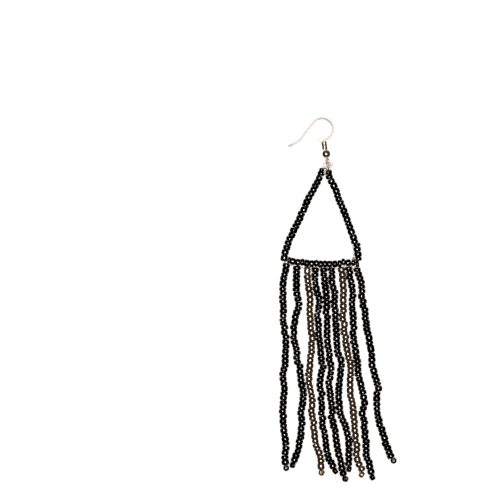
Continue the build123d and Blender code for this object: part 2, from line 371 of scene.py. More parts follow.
class Shader:
    """A material under construction, with its Principled shader and the links that feed it."""

    def __init__(self, name: str) -> None:
        """Starts the material.

        Args:
            name: the material's name.
        """
        self.material = bpy.data.materials.new(name)
        self.material.use_nodes = True
        self.add = self.material.node_tree.nodes.new
        self.link = self.material.node_tree.links.new
        self.surface = self.material.node_tree.nodes["Principled BSDF"]

    def colour(self, source: Socket) -> None:
        """Feeds a colour into the shader."""
        self.link(source, self.surface.inputs["Base Color"])

    def worn(self, wear: Wear) -> Socket:
        """Makes the finish uneven.

        Args:
            wear: how uneven it is.

        Returns:
            The socket with its cloudy mask.
        """
        grain = self.add("ShaderNodeGroup")
        grain.node_tree = Grain().group()
        set_inputs(grain, Cloud_Scale=wear.cloud, Ripple_Scale=wear.ripple)
        self.link(self.span(grain.outputs["Cloud"], *wear.roughness), self.surface.inputs["Roughness"])
        bump = self.add("ShaderNodeBump")
        set_inputs(bump, Distance=GRAIN_DEPTH, Strength=wear.relief)
        self.link(grain.outputs["Ripple"], bump.inputs["Height"])
        self.link(bump.outputs["Normal"], self.surface.inputs["Normal"])
        return grain.outputs["Cloud"]

    def tone(self) -> Socket:
        """Reads each bead's own random number, which is kept in its mesh.

        Returns:
            The socket with the number, from 0 to 1.
        """
        node = self.add("ShaderNodeAttribute")
        node.attribute_name = "bead_tone"
        return node.outputs["Fac"]

    def ramp(self, source: Socket, stops: list) -> Socket:
        """Turns a number into a colour.

        Args:
            source: the number, from 0 to 1.
            stops: (place, (red, green, blue)) for each stop, in rising order.

        Returns:
            The socket with the colour.
        """
        node = self.add("ShaderNodeValToRGB")
        set_stops(node, stops)
        self.link(source, node.inputs["Fac"])
        return node.outputs["Color"]

    def span(self, source: Socket, low: float, high: float) -> Socket:
        """Spreads the middle half of a number over a new range, and keeps it at the range's ends beyond.

        Args:
            source: the number, from 0 to 1.
            low: the start of the new range.
            high: the end of the new range.

        Returns:
            The socket with the new number.
        """
        node = self.add("ShaderNodeMapRange")
        set_inputs(node, From_Min=NOISE_RANGE[0], From_Max=NOISE_RANGE[1], To_Min=low, To_Max=high)
        self.link(source, node.inputs["Value"])
        return node.outputs["Result"]

    def mix(self, share: Socket, under: Socket, over: tuple) -> Socket:
        """Lays a colour over another by a mask.

        Args:
            share: the mask, which is 1 where the upper colour covers the lower.
            under: the lower colour.
            over: the upper colour, as (red, green, blue).

        Returns:
            The socket with the mixed colour.
        """
        node = self.add("ShaderNodeMix")
        node.data_type = "RGBA"
        node.inputs[MIX_OVER].default_value = (*over, 1.0)
        self.link(share, node.inputs["Factor"])
        self.link(under, node.inputs[MIX_UNDER])
        return node.outputs[MIX_RESULT]

    def fading(self, patch: DarkPatch) -> Socket:
        """Makes a mask that fades from a patch's strength over its core to nothing at its reach.

        Args:
            patch: the patch.

        Returns:
            The socket with the mask.
        """
        place = self.add("ShaderNodeTexCoord")
        away = self.add("ShaderNodeVectorMath")
        away.operation = "DISTANCE"
        away.inputs[1].default_value = placed_points((patch.middle,))[0]
        fade = self.add("ShaderNodeMapRange")
        fade.interpolation_type = "SMOOTHSTEP"
        reach = patch.reach * BEAD
        set_inputs(fade, From_Min=patch.core * reach, From_Max=reach, To_Min=patch.strength, To_Max=0.0)
        self.link(place.outputs["Object"], away.inputs[0])
        self.link(away.outputs["Value"], fade.inputs["Value"])
        return fade.outputs["Result"]


@dataclass(frozen=True)
class JetGlass:
    """Opaque black pressed glass with a fire-polished gloss, a little different from bead to bead."""

    base: tuple = (0.0006, 0.0005, 0.0005)
    warm: tuple = (0.0045, 0.0034, 0.0026)
    warm_from: float = 0.7
    index: float = 1.68
    glint: tuple = (0.12, 0.56)
    wear: Wear = Wear(cloud=900.0, ripple=2600.0, roughness=(0.03, 0.07), relief=0.2)

    def material(self) -> Material:
        """Builds the material.

        Returns:
            The material.
        """
        shader = Shader("jet_glass")
        shader.worn(self.wear)
        stops = [(0.0, self.base), (self.warm_from, self.base), (1.0, self.warm)]
        shader.colour(shader.ramp(shader.tone(), stops))
        shader.link(shader.span(shader.tone(), *self.glint), shader.surface.inputs["Specular IOR Level"])
        set_inputs(shader.surface, IOR=self.index)
        return shader.material


@dataclass(frozen=True)
class BronzeGlass:
    """Glass with a bronze metal lustre that is worn to a paler pewter on some beads."""

    lustre: tuple = (0.24, 0.166, 0.11)
    pewter: tuple = (0.34, 0.28, 0.22)
    gold: tuple = (0.42, 0.24, 0.09)
    dusk: tuple = (0.1, 0.062, 0.034)
    most_dusk: float = 0.55
    shade_places: tuple = (0.05, 0.15, 0.8, 0.95)
    metallic: float = 0.88
    index: float = 1.5
    coat: float = 0.65
    coat_roughness: float = 0.09
    coat_index: float = 1.75
    wear: Wear = Wear(cloud=1400.0, ripple=3000.0, roughness=(0.2, 0.36), relief=0.25)

    def material(self) -> Material:
        """Builds the material.

        Returns:
            The material.
        """
        shader = Shader("bronze_glass")
        cloud = shader.worn(self.wear)
        shades = (self.gold, self.lustre, self.lustre, self.pewter)
        bead = shader.ramp(shader.tone(), list(zip(self.shade_places, shades)))
        shader.colour(shader.mix(shader.span(cloud, 0.0, self.most_dusk), bead, self.dusk))
        set_inputs(
            shader.surface, Metallic=self.metallic, IOR=self.index, Coat_Weight=self.coat,
            Coat_Roughness=self.coat_roughness, Coat_IOR=self.coat_index,
        )
        return shader.material


@dataclass(frozen=True)
class Plating:
    """Plated wire or sheet: a metal whose gloss and tint change over it, with fine marks."""

    name: str
    bright: tuple
    dull: tuple
    roughness: tuple
    metallic: float
    coat: float = 0.0
    coat_roughness: float = 0.14
    coat_index: float = 1.9
    bright_until: float = 0.35
    dull_from: float = 0.75
    cloud: float = 700.0
    ripple: float = 5200.0
    relief: float = 0.25
    dark_patches: tuple = ()
    dark_patch_colour: tuple = (0.07, 0.045, 0.028)

    def material(self) -> Material:
        """Builds the material.

        Returns:
            The material.
        """
        shader = Shader(self.name)
        cloud = shader.worn(Wear(self.cloud, self.ripple, self.roughness, self.relief))
        colour = shader.ramp(cloud, [(self.bright_until, self.bright), (self.dull_from, self.dull)])
        # Darker patches painted over the colour; the hook's two at its eye are painted shade.
        for patch in self.dark_patches:
            colour = shader.mix(shader.fading(patch), colour, self.dark_patch_colour)
        shader.colour(colour)
        set_inputs(
            shader.surface, Metallic=self.metallic, Coat_Weight=self.coat,
            Coat_Roughness=self.coat_roughness, Coat_IOR=self.coat_index,
        )
        return shader.material


@dataclass(frozen=True)
class Nylon:
    """Nylon thread, which looks pale where it is clear and catches the light."""

    name: str = "clear_nylon"
    tint: tuple = (0.74, 0.66, 0.61)
    shade: tuple = (0.56, 0.49, 0.45)
    clearness: float = 0.2
    index: float = 1.53
    tint_until: float = 0.3
    shade_from: float = 0.8
    wear: Wear = Wear(cloud=1800.0, ripple=4000.0, roughness=(0.12, 0.3), relief=0.2)

    def material(self) -> Material:
        """Builds the material.

        Returns:
            The material.
        """
        shader = Shader(self.name)
        cloud = shader.worn(self.wear)
        shader.colour(shader.ramp(cloud, [(self.tint_until, self.tint), (self.shade_from, self.shade)]))
        set_inputs(shader.surface, Transmission_Weight=self.clearness, IOR=self.index)
        return shader.material


class Finishes:
    """All the finishes of the earring, each made once."""

    def __init__(self) -> None:
        """Makes every material."""
        self.jet = JetGlass().material()
        self.bronze = BronzeGlass().material()
        self.nylon = Nylon().material()
        # Nearly black nylon for the thread between the two strings' top beads: the dark is painted shade.
        self.painted_shade_nylon = Nylon(
            "painted_shade_nylon", (0.075, 0.05, 0.035), (0.03, 0.021, 0.015), clearness=0.0
        ).material()
        # Greyer, darker nylon for the ties at the strands' last beads and for the corner knot.
        self.darker_nylon = Nylon(
            "darker_nylon", (0.38, 0.33, 0.27), (0.24, 0.2, 0.16), clearness=0.1
        ).material()
        self.hook = Plating(
            "satin_silver", (0.78, 0.71, 0.665), (0.69, 0.62, 0.575), roughness=(0.55, 0.65), metallic=0.15,
            # Darker patches painted into the hook's colour, over its crown, at its eye and out to the left.
            dark_patches=(
                DarkPatch((0.3, 23.2, 0.6), reach=1.9, strength=0.38),
                # These two are painted shade at the eye, where the loop crosses the ring and runs under the
                # ball.
                DarkPatch((0.48, 16.3, 0.9), reach=0.85, strength=0.8),
                DarkPatch((0.95, 17.0, 0.5), reach=0.9, strength=0.66),
                DarkPatch((-5.56, 19.14, 0.5), reach=1.1, strength=0.28),
            ),
        ).material()
        self.ring = Plating(
            "ring_silver", (0.93, 0.87, 0.81), (0.84, 0.76, 0.69), roughness=(0.45, 0.6), metallic=0.2
        ).material()
        self.coil = Plating(
            "coil_steel", (0.9, 0.77, 0.63), (0.76, 0.62, 0.48), roughness=(0.22, 0.32), metallic=0.92,
            # A darker patch painted at the coil's upper end.
            dark_patches=(DarkPatch((-0.64, 20.05, 0.4), reach=0.55, strength=0.85),),
        ).material()
        self.ball = Plating(
            "ball_steel", (0.58, 0.4, 0.27), (0.42, 0.25, 0.14), roughness=(0.24, 0.31), metallic=0.94,
            coat=1.0,
        ).material()

    def glass(self, kind: Glass) -> Material:
        """The material of a kind of bead."""
        return self.jet if kind is Glass.JET else self.bronze


@dataclass(frozen=True)
class OddBead:
    """A bead that differs from its neighbours.

    The place is where it is along the string, by the string's own measure in bead diameters from the foot.
    Its length and girth are shares of the others'. Aside is how far it sits beside the line in bead
    diameters: to the right of a strand or side, and above the bar. Turn is how far its bore is turned in the
    picture, in degrees, and tone is its shade from 0 to 1.
    """

    place: float
    length: float = 1.0
    girth: float = 1.0
    aside: float = 0.0
    turn: float = 0.0
    tone: float | None = None


def set_aside(*beads: tuple) -> tuple:
    """Odd beads of which only the place and the distance beside the line are given."""
    return tuple(OddBead(place, aside=aside) for place, aside in beads)


def stretched(*beads: tuple) -> tuple:
    """Odd beads of which only the place and the length are given."""
    return tuple(OddBead(place, length=length) for place, length in beads)


@dataclass
class BeadString:
    """One string of drilled beads on its thread.

    A bead is a ring grid: round the bore by one angle, and round its wall by the other. The wall's section is
    a superellipse between the bore and the outside, as long as the bead. Spreads are standard deviations and
    ranges are limits, of shares of the pitch or of the bead diameter, and of degrees for the leans. Calm is
    the share of the strays that the string keeps.
    """

    name: str
    route: tuple
    run: Run
    glass: Glass
    seed: int
    girth: float
    odd_beads: tuple
    calm: float
    pitch: float = 1.67 * MM
    length_spread: float = 0.13
    length_range: tuple = (0.74, 1.45)
    girth_spread: float = 0.05
    girth_range: tuple = (1.0, 1.24)
    tone_range: tuple = (0.15, 0.85)
    stray: float = 0.14 * MM
    most_stray: float = 0.28 * MM
    end_stray: float = 0.3
    lean_spread: float = 2.4
    lean_range: tuple = (-6.0, 6.0)
    tip_share: float = 0.5
    heading_reach: float = 0.9
    foot_reach: float = 0.13 * MM
    wedge_share: float = 0.8
    most_cut: float = 0.2 * MM
    thread_sides: int = 6
    rings_per_bead: int = 2
    sides: int = 12
    wall_angles: tuple = (18.0, 50.0, 92.0, 180.0, 268.0, 310.0, 342.0)
    squareness: float = 0.78
    fullness: float = 1.6

    def measure(self, points: Array) -> Array:
        """Where points are along the string by its own measure, in bead diameters from the foot."""
        column, sign = self.run.value
        return (points[:, column] - FOOT[column]) / BEAD * sign

    def lay_out(self) -> None:
        """Chooses the number, lengths and widths of the beads, and where each one sits on the line.

        The lengths are random shares, scaled so that they fill the line end to end. A bead's middle strays
        sideways from the line by a random amount, and lies half its width above the table. Its bore follows
        the line's heading, turned and tipped a little at random. The odd beads have their own values.
        """
        self.line = Line(sharpened(level_points(self.route, self.run)))
        random = np.random.default_rng(self.seed)
        count = int(round(self.line.length / self.pitch))
        share = random.normal(1.0, self.length_spread, count).clip(*self.length_range)
        self.width = random.normal(self.girth, self.girth_spread, count).clip(*self.girth_range) * BEAD
        self.tone = random.uniform(*self.tone_range, count)
        aside = self.calm * random.normal(0.0, self.stray, count).clip(-self.most_stray, self.most_stray)
        aside[[0, -1]] *= self.end_stray
        lean = random.normal(0.0, self.lean_spread, (count, 2)).clip(*self.lean_range)
        even = self.measure(self.line.at((np.arange(count) + 0.5) / count * self.line.length))
        for odd in self.odd_beads:
            chosen = int(np.argmin(np.abs(even - odd.place)))
            share[chosen] = odd.length
            self.width[chosen] = self.girth * odd.girth * BEAD
            aside[chosen] += odd.aside * BEAD
            lean[chosen, 0] = odd.turn
            if odd.tone is not None:
                self.tone[chosen] = odd.tone
        self.length = share * self.line.length / share.sum()
        middle = np.cumsum(self.length) - self.length / 2
        heading = self.line.heading(middle, self.pitch * self.heading_reach)
        side = unit(np.cross(UP, heading))
        self.centre = self.line.at(middle) + side * aside[:, None]
        self.centre[:, 2] = self.width / 2
        if self.run is Run.DOWN:
            self.length[-1] += self.foot_reach
            self.centre[-1] += heading[-1] * self.foot_reach / 2
        turn = np.radians(lean[:, :1])
        tip = np.radians(lean[:, 1:] * self.tip_share)
        self.axis = unit(heading * np.cos(turn) + side * np.sin(turn) + UP * np.tan(tip))

    def make_room(self) -> None:
        """Shortens beads that lean apart, so that their ends meet at one side and don't dig into each other.

        What is missing at a joint is taken from the two ends that face it, and the beads' middles move along.
        The lean between two beads is measured at a share of the radius where their walls are thickest.
        """
        between = np.diff(self.centre, axis=0)
        way = unit(self.axis[:-1] + self.axis[1:])
        apart = np.einsum("bk,bk->b", between, way)
        rim = (self.width[:-1] + self.width[1:] + 2 * BORE) / 8
        wedge = self.wedge_share * rim * np.linalg.norm(np.diff(self.axis, axis=0), axis=1)
        missing = ((self.length[:-1] + self.length[1:]) / 2 + wedge - apart).clip(0.0, 2 * self.most_cut)
        behind = np.concatenate([[0.0], missing / 2])
        ahead = np.concatenate([missing / 2, [0.0]])
        self.length -= behind + ahead
        self.centre += self.axis * ((behind - ahead) / 2)[:, None]

    def reach(self, way: Array) -> Array:
        """How far each bead reaches from its middle along a direction.

        The bead counts as a superellipse as long and as wide as it is, a little fuller than an ellipse.

        Args:
            way: level directions, as (beads, any number, 3).

        Returns:
            The reach, as (beads, that number).
        """
        along = np.abs(np.einsum("bnk,bk->bn", way, self.axis)).clip(0.0, 1.0)
        across = np.sqrt(1.0 - along**2)
        power = self.fullness
        return (
            (self.width[:, None] / 2 * across) ** power + (self.length[:, None] / 2 * along) ** power
        ) ** (1.0 / power)

    def surface(self) -> tuple:
        """Works out the beads' walls.

        Returns:
            All the vertices as (bead, round the bore, round the wall, 3), and the list of faces.
        """
        wall = np.radians(self.wall_angles)
        out = np.sign(np.cos(wall)) * np.abs(np.cos(wall)) ** self.squareness
        along = np.sign(np.sin(wall)) * np.abs(np.sin(wall)) ** self.squareness
        out = out / out.max()
        thick = (self.width - BORE)[:, None] / 4
        away = BORE / 2 + thick + thick * out
        rise = self.length[:, None] / 2 * along / along.max()
        side = unit(np.cross(self.axis, UP))
        over = np.cross(side, self.axis)
        rim = spokes(self.sides, side, over)
        points = (
            self.centre[:, None, None, :]
            + away[:, None, :, None] * rim[:, :, None, :]
            + rise[:, None, :, None] * self.axis[:, None, None, :]
        )
        lowest = points[..., 2].min(axis=(1, 2))
        points[..., 2] -= np.minimum(lowest - TABLE_GAP, 0.0)[:, None, None]
        return points, self.faces(len(self.centre), len(wall))

    def faces(self, beads: int, walls: int) -> list:
        """The quads of every bead's ring grid, facing outwards.

        Args:
            beads: the number of beads.
            walls: the number of points round a bead's wall.

        Returns:
            The faces, as rows of vertex numbers.
        """
        bead, turn, wall = np.indices((beads, self.sides, walls))
        spoke = turn * walls
        ahead = (turn + 1) % self.sides * walls
        up = (wall + 1) % walls
        corners = np.stack([spoke + wall, spoke + up, ahead + up, ahead + wall], axis=-1)
        return (bead[..., None] * self.sides * walls + corners).reshape(-1, 4).tolist()

    def build(self, finishes: Finishes) -> None:
        """Makes the string's beads and the thread inside them.

        Args:
            finishes: the earring's finishes.
        """
        points, faces = self.surface()
        beads = piece(f"{self.name}_beads", points, faces, finishes.glass(self.glass))
        tone = beads.data.attributes.new("bead_tone", "FLOAT", "POINT")
        tone.data.foreach_set("value", np.repeat(self.tone, points.shape[1] * points.shape[2]))
        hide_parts(self.name)
        ends = self.line.at(np.array([0.0, self.line.length]))
        threaded = Line(np.vstack([ends[:1], self.centre, ends[1:]]))
        rings = self.rings_per_bead * len(self.centre)
        surface = thread_surface(threaded, NYLON / 2, self.thread_sides, rings, UP)
        core = piece(f"{self.name}_thread", *surface, finishes.nylon)
        log.info("%s: %d beads on %.1f mm", self.name, len(self.centre), self.line.length / MM)


@dataclass(frozen=True)
class Knot:
    """A barrel knot of thread.

    Its middle is (across, up, height) in bead diameters from the foot, and its heading is the direction of
    its length. Radius is that of the turns' middle line at its waist, and pitch goes from turn to turn.
    """

    name: str
    middle: tuple
    heading: tuple
    radius: float
    pitch: float


SIDE_LEFT_ROUTE = (
    (-0.2, 15.5), (-0.46, 14.35), (-0.9, 13.4), (-1.57, 12.06), (-2.55, 10.31), (-3.75, 7.53),
    (-5.27, 4.34), (-6.04, 2.37), (-6.46, 0.3),
)
SIDE_RIGHT_ROUTE = (
    (0.9, 15.19), (1.04, 14.2), (1.48, 13.1), (2.06, 11.87), (2.72, 10.07), (3.45, 8.27), (4.06, 6.5),
    (4.75, 4.78), (5.25, 3.27), (5.57, 1.87), (5.66, 0.26),
)
CROSS_BAR_ROUTE = (
    (-5.84, 0.46), (-4.78, 0.22), (-3.31, -0.02), (-1.51, -0.15), (0.46, -0.23), (2.26, -0.17),
    (3.65, -0.03), (4.81, 0.04), (5.86, -0.16),
)
FRINGE_ROUTES = (
    (
        (-5.94, 0.0), (-6.19, 1.44), (-6.38, 2.78), (-6.58, 4.42), (-6.6, 6.38), (-6.48, 7.86),
        (-6.61, 9.25), (-6.32, 11.21), (-6.11, 12.93), (-6.19, 14.9), (-6.27, 16.7), (-6.55, 18.33),
        (-6.38, 20.3), (-6.52, 22.75), (-6.55, 24.7), (-6.5, 26.7), (-6.27, 28.5), (-6.09, 30.0),
        (-6.34, 31.6), (-6.14, 32.95),
    ),
    (
        (-4.32, 0.46), (-4.31, 1.96), (-4.4, 3.6), (-4.26, 5.32), (-4.03, 6.52), (-4.24, 7.86),
        (-4.63, 9.49), (-4.8, 11.13), (-4.78, 12.6), (-4.4, 14.0), (-4.35, 15.55), (-3.91, 16.86),
        (-3.7, 18.58), (-3.39, 20.46), (-3.32, 22.43), (-3.58, 24.23), (-3.54, 26.03), (-3.65, 27.75),
        (-3.9, 29.27), (-4.29, 30.94), (-4.83, 32.48),
    ),
    (
        (-2.62, 0.59), (-2.62, 2.13), (-2.41, 3.85), (-2.21, 5.73), (-2.18, 7.53), (-2.13, 9.17),
        (-1.98, 10.97), (-1.87, 13.01), (-2.05, 15.06), (-2.19, 16.86), (-2.36, 18.33), (-2.21, 20.3),
        (-1.83, 22.1), (-1.83, 24.2), (-1.65, 26.2), (-1.36, 28.0), (-1.15, 29.7), (-0.62, 31.2),
        (-0.43, 32.74), (-0.33, 33.7),
    ),
    (
        (-1.26, 0.7), (-1.36, 2.21), (-1.19, 3.85), (-0.87, 5.48), (-0.64, 6.8), (-0.92, 8.43),
        (-0.8, 10.07), (-0.8, 11.79), (-0.47, 13.42), (-0.38, 15.31), (-0.18, 16.86), (-0.44, 18.66),
        (-0.51, 20.46), (-0.28, 22.18), (-0.26, 23.98), (-0.15, 25.7), (0.18, 27.5), (0.44, 29.3),
        (0.62, 30.94), (1.2, 32.5), (1.7, 33.5),
    ),
    (
        (0.03, 0.7), (0.13, 2.21), (0.26, 3.76), (0.52, 5.48), (0.59, 7.28), (0.62, 9.0), (0.7, 10.8),
        (0.65, 12.6), (0.98, 14.4), (1.15, 16.12), (1.28, 17.68), (0.98, 19.32), (1.06, 21.12),
        (1.33, 23.0), (1.39, 24.88), (1.77, 26.6), (2.08, 28.32), (2.26, 29.88), (2.57, 31.43),
        (2.96, 33.0), (3.11, 33.92), (3.39, 34.72),
    ),
    (
        (1.29, 0.7), (1.41, 2.21), (1.59, 3.76), (1.83, 5.24), (1.82, 7.45), (2.08, 10.15), (2.19, 11.87),
        (2.23, 13.67), (2.59, 14.98), (2.9, 16.37), (2.83, 18.17), (2.59, 19.64), (2.52, 21.44),
        (2.6, 23.08), (2.83, 24.72), (3.4, 26.11), (3.86, 27.67), (4.08, 29.3), (4.22, 30.94),
        (4.11, 32.25), (4.17, 33.1),
    ),
    (
        (2.96, 0.69), (3.14, 2.13), (3.27, 3.76), (3.24, 5.4), (3.31, 6.71), (3.22, 8.18), (3.31, 9.82),
        (3.37, 11.13), (3.68, 12.77), (3.93, 14.24), (4.31, 15.96), (4.44, 17.84), (4.42, 19.8),
        (4.47, 21.6), (4.83, 23.3), (4.96, 25.2), (5.16, 27.0), (5.29, 28.65), (5.45, 30.3), (5.5, 31.75),
        (5.99, 33.0), (6.17, 33.98),
    ),
    (
        (4.05, 0.6), (4.26, 1.8), (4.58, 3.27), (4.78, 4.58), (4.68, 6.22), (4.75, 7.86), (4.89, 9.49),
        (4.91, 11.46), (5.01, 12.93), (5.4, 14.57), (5.63, 16.45), (5.76, 18.25), (6.11, 19.97),
        (6.47, 21.53), (6.65, 23.25), (6.47, 24.8), (6.73, 26.52), (6.91, 28.24), (6.99, 29.96),
        (7.15, 31.6), (7.55, 33.07), (7.89, 34.46),
    ),
    (
        (5.63, 0.74), (5.7, 1.8), (6.09, 3.11), (6.4, 4.5), (6.5, 6.38), (6.76, 7.94), (7.01, 9.49),
        (7.25, 11.3), (7.56, 12.93), (7.91, 14.65), (8.0, 16.37), (8.35, 18.0), (8.76, 19.32), (8.95, 20.7),
        (8.72, 22.26), (8.81, 23.98), (9.02, 25.54), (9.54, 27.09), (9.89, 28.57), (10.35, 29.88),
        (10.75, 31.07), (11.2, 31.81),
    ),
)
BRONZE_STRANDS = ("fringe_3", "fringe_7")
JET_GIRTH = 1.18
BRONZE_GIRTH = 1.13
BAR_GIRTH = 1.11
TRIANGLE_CALM = 0.5
STRAND_CALM = 0.8
ODD_BEADS = {
    "side_left": (
        OddBead(15.3, length=0.72, girth=0.66, tone=0.0), OddBead(14.6, girth=0.98, aside=0.03, tone=0.35),
        OddBead(0.75, length=1.4, girth=0.98, tone=0.7),
        *stretched((1.7, 1.2)),
    ),
    "side_right": (
        OddBead(14.9, girth=1.03, aside=-0.1, tone=0.0), OddBead(14.3, aside=-0.05, tone=0.3),
        OddBead(3.4, length=0.85, aside=-0.1), OddBead(2.9, length=0.8, aside=0.12),
        OddBead(2.36, length=1.1, girth=1.04), OddBead(1.55, length=1.16, girth=1.03, aside=0.05),
        OddBead(0.64, girth=0.92, aside=0.05),
        *stretched((12.57, 1.32), (4.78, 1.3)),
    ),
    "cross_bar": (
        OddBead(-5.02, length=1.25, tone=0.7), OddBead(-3.55, length=0.9, aside=0.14),
        OddBead(2.05, length=1.22, turn=5.0), OddBead(3.26, length=0.82, aside=0.2),
        OddBead(4.06, length=1.32, turn=7.0), OddBead(5.53, length=0.88, girth=0.94, turn=18.0, tone=0.05),
        *stretched((-5.66, 0.58), (-4.29, 1.15), (1.18, 1.2), (4.88, 0.95)),
        *set_aside((-1.34, 0.08)),
    ),
    "fringe_1": (
        OddBead(0.3, girth=1.04),
        *stretched((3.5, 1.42)),
        *set_aside((2.9, -0.1), (11.2, 0.16), (12.3, 0.14), (18.1, -0.16), (24.0, -0.15)),
    ),
    "fringe_2": (
        OddBead(0.87, girth=1.08),
        *set_aside((8.9, -0.14), (10.8, -0.14), (16.7, -0.04), (19.2, -0.04), (26.5, 0.15)),
    ),
    "fringe_3": (
        OddBead(1.11, length=1.75, girth=0.95, tone=0.97), OddBead(4.73, length=1.4, tone=0.7),
        OddBead(7.46, tone=0.03), OddBead(14.47, tone=0.99),
        *stretched((8.87, 1.3), (11.8, 1.34), (16.27, 1.3), (33.31, 1.36)),
        *set_aside((23.4, -0.2), (26.0, 0.2), (32.2, 0.18)),
    ),
    "fringe_4": (
        *stretched((4.29, 1.4), (14.78, 1.35)),
        *set_aside((5.9, 0.17), (16.9, 0.22), (21.6, 0.2), (22.4, -0.18), (26.6, -0.15), (32.1, -0.15)),
    ),
    "fringe_5": (
        OddBead(2.6, girth=1.05), OddBead(9.4, girth=0.92),
        *set_aside((7.8, -0.15), (11.1, -0.15), (13.0, -0.15), (15.8, -0.26), (24.3, 0.15), (25.1, -0.15)),
    ),
    "fringe_6": (
        *stretched((15.96, 1.42)),
        *set_aside((5.9, 0.14), (7.0, 0.12), (8.0, 0.12), (28.8, 0.15), (32.0, 0.15)),
    ),
    "fringe_7": (
        OddBead(9.62, length=1.36, aside=0.05, tone=0.9),
        *stretched((3.16, 1.32), (5.43, 1.36), (19.2, 1.3), (20.9, 1.34), (31.9, 1.36)),
        *set_aside((7.9, -0.13), (11.8, 0.15), (28.8, -0.2), (33.3, 0.15)),
    ),
    "fringe_8": (
        OddBead(23.16, length=1.3, aside=0.14), OddBead(24.68, length=1.34, aside=-0.16),
        *set_aside((1.8, 0.16), (5.1, 0.15), (11.0, 0.2), (15.5, -0.14), (26.4, -0.15), (28.0, -0.14)),
    ),
    "fringe_9": (
        OddBead(5.68, length=1.34, aside=-0.2), OddBead(16.58, length=1.3, aside=-0.14),
        OddBead(20.38, length=1.32, aside=0.15),
        *stretched((13.11, 1.3), (14.84, 1.85), (28.53, 1.3)),
        *set_aside((1.3, -0.14), (2.6, 0.15), (7.1, -0.14), (8.5, 0.08), (18.9, -0.14), (21.6, -0.14)),
    ),
}
END_BEAD_TURNS = (
    (84, 8), (20, -10), (72, 6), (5, -8), (62, 18), (12, 20), (10, 42), (15, -18), (80, -8),
)
THREAD_ROUTES = {
    "bar_thread": (
        (-5.8, 0.16, 0.5), (-5.27, -0.42, 0.5), (-4.75, -0.5, 0.5), (-4.2, -0.3, 0.5), (-3.72, -0.7, 0.5),
        (-3.1, -0.84, 0.5), (-2.55, -0.44, 0.5), (-2.0, -0.94, 0.5), (-1.48, -0.88, 0.5),
        (-1.05, -0.54, 0.5), (-0.55, -0.98, 0.5), (0.05, -0.56, 0.5), (0.7, -0.86, 0.5), (1.28, -0.46, 0.5),
        (1.92, -0.94, 0.5), (2.5, -0.9, 0.5), (3.05, -0.82, 0.5), (3.66, -0.4, 0.5), (4.05, -0.3, 0.5),
        (4.4, -0.42, 0.6), (4.72, -0.7, 0.7), (4.86, -1.1, 0.6),
    ),
    "corner_loop": (
        (5.35, 0.3, 0.5), (4.98, 0.2, 0.8), (4.62, -0.22, 0.75), (4.62, -0.62, 0.6), (4.95, -0.98, 0.5),
        (5.2, -0.7, 0.6), (5.22, -0.3, 0.7), (5.55, -0.3, 0.5),
    ),
    "left_corner_thread": (
        (-5.7, 0.95, 0.5), (-5.98, 0.66, 0.72), (-6.16, 0.26, 0.72), (-6.36, 0.02, 0.6), (-6.44, -0.3, 0.5),
    ),
    "upper_wisp": ((4.95, 0.86, 0.5), (4.86, 1.2, 0.75), (5.02, 1.52, 0.8), (4.88, 1.8, 0.65)),
    "lower_wisp": ((4.9, 2.35, 0.5), (4.74, 2.58, 0.7), (4.8, 2.86, 0.6)),
    "apex_pass": (
        (-0.04, 15.3, 0.55), (0.1, 15.46, 0.75), (0.3, 15.52, 0.85), (0.48, 15.4, 0.8), (0.62, 15.22, 0.75),
        (0.8, 15.02, 0.6),
    ),
    "apex_tail": ((0.74, 15.84, 0.75), (0.8, 15.62, 0.9), (0.86, 15.36, 0.92), (0.9, 15.02, 0.6)),
}
CORNER_KNOT = Knot("corner_knot", (5.0, 0.7, 0.72), (1.0, 0.24, 0.0), radius=0.36 * MM, pitch=0.27 * MM)
APEX_KNOT = Knot("apex_knot", (0.26, 14.8, 0.98), (0.25, 1.0, 0.0), radius=0.26 * MM, pitch=0.29 * MM)


